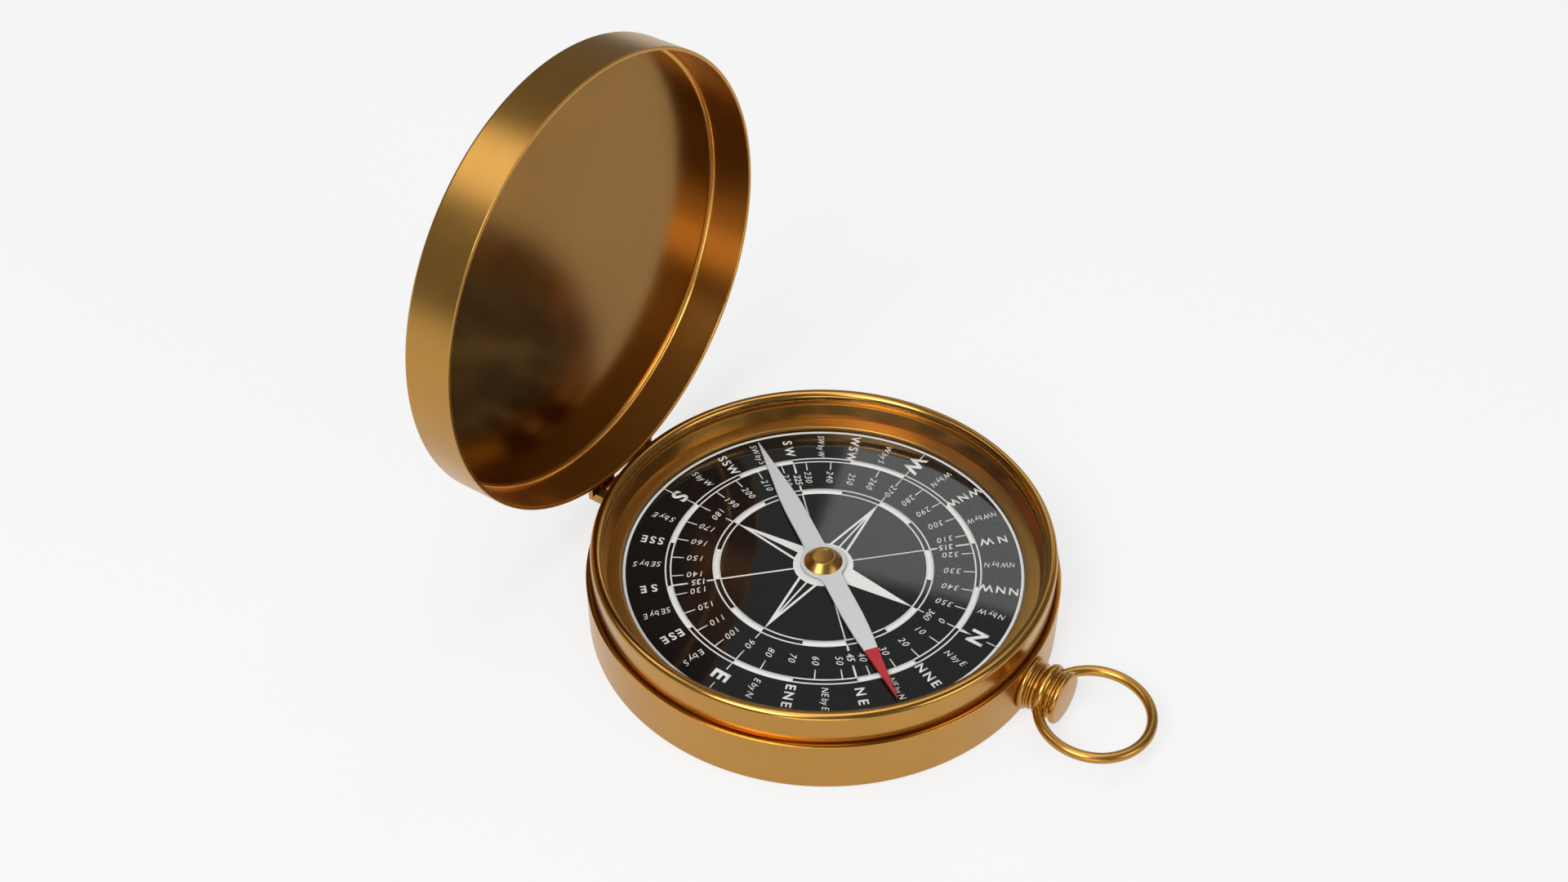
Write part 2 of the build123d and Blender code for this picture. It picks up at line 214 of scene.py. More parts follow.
def turned(outline, steps=ROUND_STEPS):
    """Spins an outline round Z.

    Its corners are (radius, height) or (radius, height, rounding), in millimetres.
    """
    bm = bmesh.new()
    corners = [bm.verts.new((corner[0] * MM, 0, corner[1] * MM)) for corner in outline]
    for here, after in zip(corners, corners[1:] + corners[:1]):
        bm.edges.new((here, after))
    for corner, point in zip(corners, outline):
        if len(point) == 3:
            bmesh.ops.bevel(
                bm, geom=[corner], offset=point[2] * MM, segments=CORNER_STEPS, profile=0.5,
                affect="VERTICES", material=-1,
            )
    bmesh.ops.spin(
        bm, geom=bm.verts[:] + bm.edges[:], cent=(0, 0, 0), axis=(0, 0, 1), angle=FULL_TURN,
        steps=steps, use_merge=True,
    )
    bmesh.ops.remove_doubles(bm, verts=bm.verts[:], dist=MERGE)
    on_axis = [edge for edge in bm.edges if all(vert.co.xy.length < MERGE for vert in edge.verts)]
    bmesh.ops.delete(bm, geom=on_axis, context="EDGES")
    bmesh.ops.recalc_face_normals(bm, faces=bm.faces[:])
    return bm


def piece(name, bm, body, *finishes, replaces=(), slot=None):
    """Makes a bmesh a smooth finished piece that rides on a body."""
    for face in bm.faces:
        face.smooth = True
    mesh = bpy.data.meshes.new(name)
    bm.to_mesh(mesh)
    bm.free()
    for finish in finishes:
        mesh.materials.append(finish)
    made = bpy.data.objects.new(name, mesh)
    bpy.context.scene.collection.objects.link(made)
    flats = made.modifiers.new("even flats", "WEIGHTED_NORMAL")
    flats.keep_sharp = True
    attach(made, body)
    if replaces:
        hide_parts(*replaces)


def thicken(bm, height_mm):
    """Raises a copy of flat faces on side walls, and gives back the raised corners."""
    raised = bmesh.ops.extrude_face_region(bm, geom=bm.faces[:])["geom"]
    lifted = [part for part in raised if isinstance(part, bmesh.types.BMVert)]
    bmesh.ops.translate(bm, verts=lifted, vec=(0, 0, height_mm * MM))
    return lifted


def soft_edged(node, width_mm):
    """Copy of a CAD node's mesh with its sharp edges rounded."""
    bm = bmesh.new()
    bm.from_mesh(frame["nodes"][node].data)
    bmesh.ops.remove_doubles(bm, verts=bm.verts[:], dist=MERGE)
    bmesh.ops.dissolve_limit(bm, angle_limit=FLAT_ANGLE, verts=bm.verts[:], edges=bm.edges[:])
    sharp = [edge for edge in bm.edges if edge.is_manifold and edge.calc_face_angle() > SHARP_ANGLE]
    bmesh.ops.bevel(
        bm, geom=sharp, offset=width_mm * MM, segments=EDGE_STEPS, profile=0.5, affect="EDGES",
        material=-1, clamp_overlap=True,
    )
    bmesh.ops.recalc_face_normals(bm, faces=bm.faces[:])
    return bm


# Materials

NOISE_LOW, NOISE_HIGH = 0.3, 0.7    # nearly all of a noise lies between these


def new_finish(name):
    """New node material, with its shader and the socket of its object coordinates."""
    finish = bpy.data.materials.new(name)
    finish.use_nodes = True
    nodes = finish.node_tree.nodes
    shader = nodes["Principled BSDF"]
    place = nodes.new("ShaderNodeTexCoord").outputs["Object"]
    return finish, shader, place


def noise(finish, place, scale, detail=2.0):
    """Noise over object coordinates, finer with a larger scale, as its factor socket."""
    texture = finish.node_tree.nodes.new("ShaderNodeTexNoise")
    texture.inputs["Scale"].default_value = scale
    texture.inputs["Detail"].default_value = detail
    finish.node_tree.links.new(place, texture.inputs["Vector"])
    return texture.outputs["Fac"]


def between(finish, factor, least, most):
    """Number from least to most as a noise factor goes from low to high."""
    spread = finish.node_tree.nodes.new("ShaderNodeMapRange")
    spread.inputs["From Min"].default_value = NOISE_LOW
    spread.inputs["From Max"].default_value = NOISE_HIGH
    spread.inputs["To Min"].default_value = least
    spread.inputs["To Max"].default_value = most
    finish.node_tree.links.new(factor, spread.inputs["Value"])
    return spread.outputs["Result"]


def two_tone(finish, factor, first, second):
    """Colour that goes from first to second with a factor from 0 to 1."""
    mix = finish.node_tree.nodes.new("ShaderNodeMix")
    mix.data_type = "RGBA"
    mix.inputs["A"].default_value = (*first, 1)
    mix.inputs["B"].default_value = (*second, 1)
    finish.node_tree.links.new(factor, mix.inputs["Factor"])
    return mix.outputs["Result"]


def bumped(finish, shader, height, strength, depth_mm):
    """Fine relief on a surface from a height socket."""
    bump = finish.node_tree.nodes.new("ShaderNodeBump")
    bump.inputs["Strength"].default_value = strength
    bump.inputs["Distance"].default_value = depth_mm * MM
    finish.node_tree.links.new(height, bump.inputs["Height"])
    finish.node_tree.links.new(bump.outputs["Normal"], shader.inputs["Normal"])


def shade(colour, factor):
    """Colour made darker or lighter by a factor."""
    return tuple(channel * factor for channel in colour)


BRASS = (0.48, 0.25, 0.058)
CLOUD_SCALE, CLOUD = 90, 0.04       # clouds in the brass's tone, and by what share they change it
HAZE_SCALE, HAZE = 250, 0.01        # clouds in its gloss, and by how much they change the roughness


def brass(name, colour, roughness):
    """Lacquered brass with soft clouds in its tone and in its gloss."""
    finish, shader, place = new_finish(name)
    links = finish.node_tree.links
    clouds = between(finish, noise(finish, place, CLOUD_SCALE), 0, 1)
    links.new(two_tone(finish, clouds, shade(colour, 1 - CLOUD), shade(colour, 1 + CLOUD)),
              shader.inputs["Base Color"])
    hazes = noise(finish, place, HAZE_SCALE)
    links.new(between(finish, hazes, roughness - HAZE, roughness + HAZE), shader.inputs["Roughness"])
    shader.inputs["Metallic"].default_value = 1
    return finish


satin_brass = brass("satin_brass", BRASS, 0.29)
# Brass half again as light, for the case's ledge and the lid's inner wall: painted light, standing in
# for light bounced off the brass nearby.
wall_brass_painted_light = brass("wall_brass_painted_light", shade(BRASS, 1.5), 0.26)
# Darker, warmer brass for the lid's inner panel: painted shade, standing in for a dimmer reflection
# there.
panel_brass_painted_shade = brass("panel_brass_painted_shade", (0.262, 0.13, 0.028), 0.19)
polished_brass = brass("polished_brass", BRASS, 0.29)
bezel_brass = brass("bezel_brass", BRASS, 0.2)
plain_brass = brass("plain_brass", shade(BRASS, 0.9), 0.3)


def lacquered(finish, shader):
    """Clear gloss lacquer over paint, with the paint's grain in it."""
    shader.inputs["Coat Weight"].default_value = 1.0
    shader.inputs["Coat IOR"].default_value = 1.7
    shader.inputs["Coat Roughness"].default_value = 0.04
    grain = shader.inputs["Normal"].links[0].from_socket
    finish.node_tree.links.new(grain, shader.inputs["Coat Normal"])


def dial_paint():
    """Black dial paint with fine grey specks under lacquer."""
    finish, shader, place = new_finish("dial_black")
    links = finish.node_tree.links
    specks = between(finish, noise(finish, place, 7000, detail=4), 0, 1)
    links.new(two_tone(finish, specks, (0.003, 0.003, 0.0032), (0.009, 0.009, 0.0094)),
              shader.inputs["Base Color"])
    links.new(between(finish, specks, 0.45, 0.62), shader.inputs["Roughness"])
    shader.inputs["Specular IOR Level"].default_value = 0.05
    bumped(finish, shader, specks, 0.03, 0.01)
    lacquered(finish, shader)
    return finish


def dial_ink():
    """Warm white print with a faint grain."""
    finish, shader, place = new_finish("dial_ink")
    links = finish.node_tree.links
    specks = between(finish, noise(finish, place, 6000, detail=4), 0, 1)
    links.new(two_tone(finish, specks, (0.82, 0.805, 0.78), (0.92, 0.91, 0.89)),
              shader.inputs["Base Color"])
    links.new(between(finish, specks, 0.5, 0.65), shader.inputs["Roughness"])
    return finish


def needle_steel():
    """Satin silver of the needle."""
    finish, shader, place = new_finish("needle_silver")
    links = finish.node_tree.links
    fine = noise(finish, place, 8000, detail=3)
    links.new(two_tone(finish, between(finish, fine, 0, 1), (0.72, 0.725, 0.735), (0.8, 0.806, 0.814)),
              shader.inputs["Base Color"])
    links.new(between(finish, fine, 0.42, 0.55), shader.inputs["Roughness"])
    shader.inputs["Metallic"].default_value = 0.35
    bumped(finish, shader, fine, 0.05, 0.01)
    return finish


def red_paint():
    """Red paint of the needle's north tip."""
    finish, shader, place = new_finish("needle_red")
    links = finish.node_tree.links
    fine = between(finish, noise(finish, place, 6000, detail=3), 0, 1)
    links.new(two_tone(finish, fine, (0.46, 0.016, 0.026), (0.56, 0.024, 0.034)),
              shader.inputs["Base Color"])
    links.new(between(finish, fine, 0.34, 0.46), shader.inputs["Roughness"])
    return finish


def crystal_glass():
    """Clear coated glass: it mirrors only at a low angle, and light goes straight through."""
    finish, shader, place = new_finish("crystal_glass")
    nodes, links = finish.node_tree.nodes, finish.node_tree.links
    nodes.remove(shader)
    clear = nodes.new("ShaderNodeBsdfTransparent")
    mirror = nodes.new("ShaderNodeBsdfGlossy")
    smudge = between(finish, noise(finish, place, 60), 0.0, 0.02)
    links.new(smudge, mirror.inputs["Roughness"])
    clear.inputs["Color"].default_value = (0.985, 0.99, 0.99, 1)
    slant = nodes.new("ShaderNodeLayerWeight")
    slant.inputs["Blend"].default_value = 0.5
    steep = nodes.new("ShaderNodeMath")
    steep.operation = "POWER"
    steep.inputs[1].default_value = 5.0
    gloss = nodes.new("ShaderNodeMapRange")
    gloss.inputs["To Min"].default_value = 0.003
    gloss.inputs["To Max"].default_value = 0.2
    mix = nodes.new("ShaderNodeMixShader")
    links.new(slant.outputs["Facing"], steep.inputs[0])
    links.new(steep.outputs["Value"], gloss.inputs["Value"])
    links.new(gloss.outputs["Result"], mix.inputs["Fac"])
    links.new(clear.outputs["BSDF"], mix.inputs[1])
    links.new(mirror.outputs["BSDF"], mix.inputs[2])
    links.new(mix.outputs["Shader"], nodes["Material Output"].inputs["Surface"])
    return finish


def plain_finish(name, dark, pale, roughness, metallic=0.0):
    """Finish of a hidden piece: two close tones in a fine noise."""
    finish, shader, place = new_finish(name)
    tone = between(finish, noise(finish, place, 4000, detail=3), 0, 1)
    finish.node_tree.links.new(two_tone(finish, tone, dark, pale), shader.inputs["Base Color"])
    shader.inputs["Roughness"].default_value = roughness
    shader.inputs["Metallic"].default_value = metallic
    return finish


dial_black = dial_paint()
white_ink = dial_ink()
needle_silver = needle_steel()
needle_red = red_paint()
clear_glass = crystal_glass()
pivot_steel = plain_finish("pivot_steel", (0.40, 0.40, 0.42), (0.52, 0.52, 0.54), 0.25, metallic=1.0)
gasket_rubber = plain_finish("gasket_rubber", (0.34, 0.18, 0.05), (0.42, 0.23, 0.07), 0.6)
jewel_stone = plain_finish("jewel_stone", (0.30, 0.02, 0.04), (0.45, 0.04, 0.07), 0.12)


# Case and bezel

def make_case():
    bore = case_radius_mm - case_wall_mm
    outline = [
        (0, 0), (case_radius_mm, 0, case_edge_round_mm), (case_radius_mm, ledge_mm, ledge_edge_round_mm),
        (bore, ledge_mm), (bore, case_floor_mm), (0, case_floor_mm),
    ]
    bm = turned(outline)
    # The ledge on top of the case takes the lighter brass, which is painted light.
    for face in bm.faces:
        middle = face.calc_center_median()
        face.material_index = int(middle.z > (ledge_mm - ledge_edge_round_mm) * MM)
    piece("case_body", bm, "case", satin_brass, wall_brass_painted_light, replaces=["case_cup"], slot="satin_brass")


def make_bezel():
    """Screwed bezel. Its inner wall runs down over the rim of the glass, which hides the gasket."""
    bore = bezel_radius_mm - bezel_wall_mm
    lip = bezel_radius_mm - 2 * bezel_nose_mm
    nose_base = bezel_top_mm - bezel_nose_mm
    case_bore = case_radius_mm - case_wall_mm
    crest = (bezel_radius_mm - bezel_nose_mm, bezel_top_mm)
    nose = arc((bezel_radius_mm, nose_base), crest, (lip, nose_base), NOSE_STEPS)
    outline = [
        *nose, (lip, crystal_base_mm), (bore, crystal_base_mm), (bore, skirt_end_mm),
        (case_bore, skirt_end_mm), (case_bore, ledge_mm),
        (bezel_radius_mm, ledge_mm, bezel_foot_round_mm),
    ]
    piece("bezel", turned(outline), "case", bezel_brass, replaces=["bezel_ring"], slot="polished_brass")


def make_inner_rings():
    lip = bezel_radius_mm - 2 * bezel_nose_mm
    foot = lip - reflector_inset_mm
    reflector = [
        (ring_radius_mm, dial_ring_top_mm), (ring_radius_mm, crystal_base_mm),
        (lip - reflector_step_mm, crystal_base_mm, fine_round_mm),
        (foot, dial_ring_top_mm, fine_round_mm),
    ]
    piece("reflector", turned(reflector), "case", polished_brass,
          replaces=["reflector_ring"], slot="polished_brass")
    bevel_top = dial_ring_top_mm - dial_ring_slope_mm
    ring = [
        (dial_opening_mm, dial_top_mm), (ring_radius_mm, dial_top_mm),
        (ring_radius_mm, dial_ring_top_mm), (foot, dial_ring_top_mm),
        (dial_opening_mm + dial_ring_bevel_mm, bevel_top, dial_ring_round_mm),
    ]
    piece("dial_surround", turned(ring), "case", polished_brass,
          replaces=["dial_ring"], slot="polished_brass")


def make_crystal():
    base, top = crystal_base_mm + glass_gap_mm, crystal_top_mm - glass_gap_mm
    outline = [
        (0, base), (crystal_radius_mm, base, fine_round_mm),
        (crystal_radius_mm, top, fine_round_mm), (0, top),
    ]
    piece("glass", turned(outline), "case", clear_glass, replaces=["crystal"], slot="crystal_glass")


# Dial and its print

PRINT_LAYERS_MM = {
    "dial_rose": 0.016, "dial_hub": 0.02, "dial_rings": 0.018, "dial_ticks": 0.014,
    "dial_numbers": 0.022, "dial_points": 0.024,
}
outer_ring_mm = (19.23, 20.08)
inner_ring_mm = (13.07, 14.04)
border_mm = (25.03, 25.42)
hollow_line_mm = 0.2
white_hub_mm = 3.82
ray_tip_mm = 13.25
ray_half_mm = 1.38
ray_line_mm = 0.32
ray_centre_line_mm = 0.11
ray_line_end_mm = 10.9
ray_root_mm = 0.5          # how far a ray starts inside the hub
tick_inner_mm = 17.75
tick_half_mm = 0.075
diagonal_half_mm = 0.075
bold_diagonal_half_mm = 0.11
bold_tick_half_mm = 0.13
number_at_mm = 16.35
number_height_mm = 0.9
bold_number_at_mm = 16.05
zero_at_mm = 17.42
full_circle_at_mm = 15.62
big_letter_at_mm = 22.47
big_letter_height_mm = 2.1
bold_point_height_mm = 1.22
bold_point_at_mm = 22.3
fine_point_height_mm = 0.88
fine_point_at_mm = 22.35
fine_word_mm = 1.35
fine_letter_mm = 0.45
fine_wide_letter_mm = 0.35
north_wedge_half_mm = 0.26
north_wedge_tip_mm = 21.7
dial_bore_mm = 1.6
bold_number_clear_mm = 1.1  # from the middle of a number to the line below it
bold_tick_more_mm = 0.4     # how much further in a bold tick starts than a fine one
number_clear_mm = 1.2
upright_clear_mm = 0.75     # the same for the upright numbers at north
big_letter_clear_mm = 1.2
big_letter_clear_out_mm = 1.25
POINT_STEP = 22.5           # degrees between the bold points
PRINT_MERGE = 1e-8          # corners of the print closer than this, in metres, are one
ITALIC = 0.22
WORD_SPACE = 0.4            # share of a full word space
CAP_HEIGHT = 0.7            # height of a capital in the lettering's own units
LETTER_STEPS = 4            # steps along each curve of a letter
NUMBER_SPACING = 1.2
BOLD_NUMBER_WEIGHT = 0.012
BIG_LETTER_WEIGHT = 0.03
BIG_LETTER_WIDTH = 1.05
BOLD_POINT_WEIGHT = 0.02
BOLD_POINT_SPACING = {2: 1.6, 3: 1.3}   # by the number of letters
FINE_POINT_SPACING = 1.1


def on_dial(bearing, radius_mm, aside_mm=0.0):
    """Place on the dial at a bearing in degrees, clockwise from north.

    Aside is to the right of that bearing.
    """
    turn = math.radians(bearing)
    outward = Vector((-math.sin(turn), -math.cos(turn), 0))
    right = Vector((-math.cos(turn), math.sin(turn), 0))
    return (outward * radius_mm + right * aside_mm) * MM


def flat_shape(bm, *places):
    bm.faces.new([bm.verts.new(place) for place in places])


def bar(bm, bearing, inner_mm, outer_mm, half_mm):
    """Straight line along a bearing."""
    flat_shape(
        bm, on_dial(bearing, inner_mm, -half_mm), on_dial(bearing, inner_mm, half_mm),
        on_dial(bearing, outer_mm, half_mm), on_dial(bearing, outer_mm, -half_mm),
    )


def band(bm, inner_mm, outer_mm, start, end):
    """Part of a ring between two bearings."""
    ends = [bm.verts.new(on_dial(start, radius)) for radius in (inner_mm, outer_mm)]
    edge = bm.edges.new(ends)
    bmesh.ops.spin(
        bm, geom=[*ends, edge], cent=(0, 0, 0), axis=(0, 0, 1), angle=-math.radians(end - start),
        steps=max(4, round(end - start)),
    )


def full_band(bm, inner_mm, outer_mm):
    for quarter in range(4):
        band(bm, inner_mm, outer_mm, 90 * quarter, 90 * quarter + 90)


def chapter_ring(bm, edges_mm, filled_first):
    """Ring of lengths from point to point that are filled and hollow by turns."""
    inner, outer = edges_mm
    for length in range(16):
        start, end = POINT_STEP * length, POINT_STEP * length + POINT_STEP
        if (length % 2 == 0) == filled_first:
            band(bm, inner, outer, start, end)
        else:
            band(bm, inner, inner + hollow_line_mm, start, end)
            band(bm, outer - hollow_line_mm, outer, start, end)


def printed(name, bm):
    """Gives flat print its layer's thickness and lays it on the dial."""
    bmesh.ops.remove_doubles(bm, verts=bm.verts[:], dist=PRINT_MERGE)
    bmesh.ops.recalc_face_normals(bm, faces=bm.faces[:])
    for face in bm.faces:
        if face.normal.z < 0:
            face.normal_flip()
    thicken(bm, PRINT_LAYERS_MM[name])
    bmesh.ops.translate(bm, verts=bm.verts[:], vec=(0, 0, dial_top_mm * MM))
    bmesh.ops.recalc_face_normals(bm, faces=bm.faces[:])
    piece(name, bm, "case", white_ink)


def ray(bm, bearing, left, right):
    """Pointed ray of the rose. Each half is filled or an outline."""
    base, tip = white_hub_mm - ray_root_mm, on_dial(bearing, ray_tip_mm)
    inner_tip_mm = base + (ray_tip_mm - base) * (1 - ray_line_mm / ray_half_mm)
    for side, filled in ((-1, left), (1, right)):
        outer_foot = on_dial(bearing, base, side * ray_half_mm)
        if filled:
            flat_shape(bm, on_dial(bearing, base), outer_foot, tip)
        else:
            inner_foot = on_dial(bearing, base, side * (ray_half_mm - ray_line_mm))
            flat_shape(bm, inner_foot, outer_foot, tip, on_dial(bearing, inner_tip_mm))


def rose_print():
    bm = bmesh.new()
    bmesh.ops.create_circle(bm, cap_ends=True, segments=SMALL_ROUND_STEPS, radius=white_hub_mm * MM)
    printed("dial_hub", bm)
    bm = bmesh.new()
    ray(bm, 0, True, True)
    ray(bm, 90, False, False)
    ray(bm, 180, False, True)
    ray(bm, 270, False, False)
    for bearing in (45, 225, 315):
        bar(bm, bearing, white_hub_mm, inner_ring_mm[0], diagonal_half_mm)
    bar(bm, 135, white_hub_mm, inner_ring_mm[0], bold_diagonal_half_mm)
    printed("dial_rose", bm)


def ring_print():
    bm = bmesh.new()
    chapter_ring(bm, outer_ring_mm, filled_first=False)
    chapter_ring(bm, inner_ring_mm, filled_first=True)
    full_band(bm, *border_mm)
    printed("dial_rings", bm)


def tick_print():
    bm = bmesh.new()
    ring_inner, ring_outer = outer_ring_mm
    for bearing in range(10, 360, 10):
        if bearing % 90 and bearing % 180 != 70:
            bar(bm, bearing, tick_inner_mm, ring_inner, tick_half_mm)
    for bearing in (45, 135, 225, 315):
        bar(bm, bearing, inner_ring_mm[1], bold_number_at_mm - bold_number_clear_mm, bold_tick_half_mm)
        bar(bm, bearing, tick_inner_mm - bold_tick_more_mm, ring_inner, bold_tick_half_mm)
    for bearing in (90, 270):
        bar(bm, bearing, white_hub_mm - ray_root_mm, ray_line_end_mm, ray_centre_line_mm)
    for bearing in (90, 180, 270):
        bar(bm, bearing, inner_ring_mm[1], number_at_mm - number_clear_mm, tick_half_mm)
        bar(bm, bearing, number_at_mm + number_clear_mm, ring_inner, tick_half_mm)
        bar(bm, bearing, ring_outer, big_letter_at_mm - big_letter_clear_mm, tick_half_mm)
    bar(bm, 0, inner_ring_mm[1], full_circle_at_mm - upright_clear_mm, tick_half_mm)
    bar(bm, 0, zero_at_mm + upright_clear_mm, ring_inner, tick_half_mm)
    for bearing in (0, 90, 180, 270):
        bar(bm, bearing, big_letter_at_mm + big_letter_clear_out_mm, border_mm[0], tick_half_mm)
    flat_shape(
        bm, on_dial(0, ring_outer, -north_wedge_half_mm), on_dial(0, ring_outer, north_wedge_half_mm),
        on_dial(0, north_wedge_tip_mm),
    )
    printed("dial_ticks", bm)


def letter(bm, text, bearing, radius_mm, height_mm, slant=0.0, weight=0.0, spacing=1.0, widen=1.0,
           length_mm=None, upright=False):
    """Prints a word on the dial, centred at a bearing and radius, along the radius or upright."""
    curve = bpy.data.curves.new("lettering", "FONT")
    curve.body = text
    curve.shear = slant
    curve.offset = weight
    curve.space_character = spacing
    curve.space_word = WORD_SPACE
    curve.resolution_u = LETTER_STEPS
    word = bpy.data.objects.new("lettering", curve)
    bpy.context.scene.collection.objects.link(word)
    shown = word.evaluated_get(bpy.context.evaluated_depsgraph_get())
    mesh = bpy.data.meshes.new_from_object(shown)
    bpy.data.objects.remove(word)
    bpy.data.curves.remove(curve)
    xs = [vert.co.x for vert in mesh.vertices]
    width, middle = max(xs) - min(xs), 0.5 * (max(xs) + min(xs))
    scale = height_mm * MM / CAP_HEIGHT
    stretch = length_mm * MM / width if length_mm else scale * widen
    if upright:
        turn = math.pi
    elif bearing <= 180:
        turn = -math.pi / 2 - math.radians(bearing)
    else:
        turn = math.pi / 2 - math.radians(bearing)
    mesh.transform(
        Matrix.Translation(on_dial(bearing, radius_mm)) @ Matrix.Rotation(turn, 4, "Z")
        @ Matrix.Diagonal((stretch, scale, 1, 1)) @ Matrix.Translation((-middle, -CAP_HEIGHT / 2, 0))
    )
    bm.from_mesh(mesh)
    bpy.data.meshes.remove(mesh)


def number_print():
    bm = bmesh.new()
    for bearing in range(10, 360, 10):
        letter(bm, str(bearing), bearing, number_at_mm, number_height_mm, slant=ITALIC,
               spacing=NUMBER_SPACING, upright=bearing == 180)
    for bearing in (45, 135, 225, 315):
        letter(bm, str(bearing), bearing, bold_number_at_mm, number_height_mm, slant=ITALIC,
               weight=BOLD_NUMBER_WEIGHT)
    letter(bm, "0", 0, zero_at_mm, number_height_mm, slant=ITALIC, upright=True)
    letter(bm, "360", 0, full_circle_at_mm, number_height_mm, slant=ITALIC, upright=True)
    printed("dial_numbers", bm)


def point_print():
    bm = bmesh.new()
    for bearing, text in ((0, "N"), (90, "E"), (180, "S"), (270, "W")):
        letter(bm, text, bearing, big_letter_at_mm, big_letter_height_mm, weight=BIG_LETTER_WEIGHT,
               widen=BIG_LETTER_WIDTH, upright=not bearing % 180)
    bold = ["NNE", "NE", "ENE", "ESE", "SE", "SSE", "SSW", "SW", "WSW", "WNW", "NW", "NNW"]
    bold_bearings = [step * POINT_STEP for step in range(16) if step % 4]
    for bearing, text in zip(bold_bearings, bold):
        letter(bm, text, bearing, bold_point_at_mm, bold_point_height_mm, weight=BOLD_POINT_WEIGHT,
               spacing=BOLD_POINT_SPACING[len(text)])
    fine = [
        "N by E", "NE by N", "NE by E", "E by N", "E by S", "SE by E", "SE by S", "S by E",
        "S by W", "SW by S", "SW by W", "W by S", "W by N", "NW by W", "NW by N", "N by W",
    ]
    for step, text in enumerate(fine):
        bearing = 0.5 * POINT_STEP + POINT_STEP * step
        letters = len(text.replace(" ", ""))
        length = fine_word_mm + fine_letter_mm * letters + fine_wide_letter_mm * text.count("W")
        letter(bm, text, bearing, fine_point_at_mm, fine_point_height_mm, slant=ITALIC,
               spacing=FINE_POINT_SPACING, length_mm=length)
    printed("dial_points", bm)


def make_dial():
    outline = [
        (dial_bore_mm, dial_base_mm), (dial_radius_mm, dial_base_mm),
        (dial_radius_mm, dial_top_mm), (dial_bore_mm, dial_top_mm),
    ]
    piece("dial", turned(outline), "case", dial_black, replaces=["dial_plate"], slot="dial_black")
    rose_print()
    ring_print()
    tick_print()
    number_print()
    point_print()


# Needle and cap

def needle_outline():
    """Half of the needle's plan as (x, y) corners, from the red tip round the hub to the other tip."""
    fillet_y = needle_half_mm + needle_hub_round_mm
    fillet_x = math.sqrt((needle_hub_mm + needle_hub_round_mm) ** 2 - fillet_y ** 2)
    fillet = Vector((fillet_x, fillet_y))
    on_hub = fillet.normalized() * needle_hub_mm
    fillet_middle = fillet - (fillet.normalized() + Vector((0, 1))).normalized() * needle_hub_round_mm
    root = arc((fillet_x, needle_half_mm), fillet_middle, on_hub, FILLET_STEPS)
    half_hub = arc(on_hub, (0, needle_hub_mm), (-on_hub.x, on_hub.y), HALF_HUB_STEPS)
    blade = [(needle_half_length_mm, needle_tip_half_mm), (needle_taper_at_mm, needle_half_mm), *root]
    bore = arc((-cap_boss_mm, 0), (0, cap_boss_mm), (cap_boss_mm, 0), HALF_HUB_STEPS)
    other_blade = [(-x, y) for x, y in reversed(blade)]
    ends = [(-needle_half_length_mm, 0), *bore, (needle_half_length_mm, 0)]
    return blade + half_hub[1:-1] + other_blade + ends


def make_needle():
    bm = bmesh.new()
    corners = [bm.verts.new((x * MM, y * MM, 0)) for x, y in needle_outline()]
    bm.faces.new(corners)
    tapers = [corner for corner in corners if abs(abs(corner.co.x) - needle_taper_at_mm * MM) < MERGE]
    bmesh.ops.bevel(
        bm, geom=tapers, offset=needle_taper_round_mm * MM, segments=FILLET_STEPS, profile=0.5,
        affect="VERTICES", material=-1,
    )
    bmesh.ops.mirror(bm, geom=bm.verts[:] + bm.edges[:] + bm.faces[:], axis="Y", merge_dist=MERGE)
    lifted = thicken(bm, needle_top_mm - needle_base_mm)
    bmesh.ops.recalc_face_normals(bm, faces=bm.faces[:])
    rim = [edge for edge in bm.edges if edge.calc_face_angle() > NEEDLE_RIM_ANGLE]
    rim = [edge for edge in rim if all(vert in lifted for vert in edge.verts)]
    bmesh.ops.bevel(
        bm, geom=rim, offset=needle_edge_round_mm * MM, segments=EDGE_STEPS, profile=0.5,
        affect="EDGES", material=-1,
    )
    bmesh.ops.bisect_plane(
        bm, geom=bm.verts[:] + bm.edges[:] + bm.faces[:],
        plane_co=(red_tip_from_mm * MM, 0, 0), plane_no=(1, 0, 0),
    )
    for face in bm.faces:
        face.material_index = int(face.calc_center_median().x > red_tip_from_mm * MM)
    placed = Matrix.Translation((0, 0, needle_base_mm * MM)) @ Matrix.Rotation(
        -math.pi / 2 - needle_bearing, 4, "Z")
    bmesh.ops.transform(bm, matrix=placed, verts=bm.verts[:])
    piece("needle_blade", bm, "compass_needle", needle_silver, needle_red,
          replaces=["needle"], slot="needle_steel")


def make_cap():
    dish = cap_top_mm - cap_dish_depth_mm
    outline = [
        (cap_bore_mm, cap_base_mm), (cap_boss_mm, cap_base_mm), (cap_boss_mm, needle_top_mm),
        (cap_foot_mm, needle_top_mm, cap_round_mm), (cap_crown_mm, cap_top_mm, cap_round_mm),
        (cap_dish_mm, cap_top_mm, fine_round_mm), (cap_dish_mm, dish, fine_round_mm),
        (0, dish), (0, cap_seat_top_mm), (cap_seat_mm, cap_seat_top_mm),
        (cap_seat_mm, cap_seat_base_mm), (cap_bore_mm, cap_seat_base_mm),
    ]
    piece("cap", turned(outline, SMALL_ROUND_STEPS), "compass_needle", polished_brass,
          replaces=["needle_cap"], slot="polished_brass")


# Lid and hinge

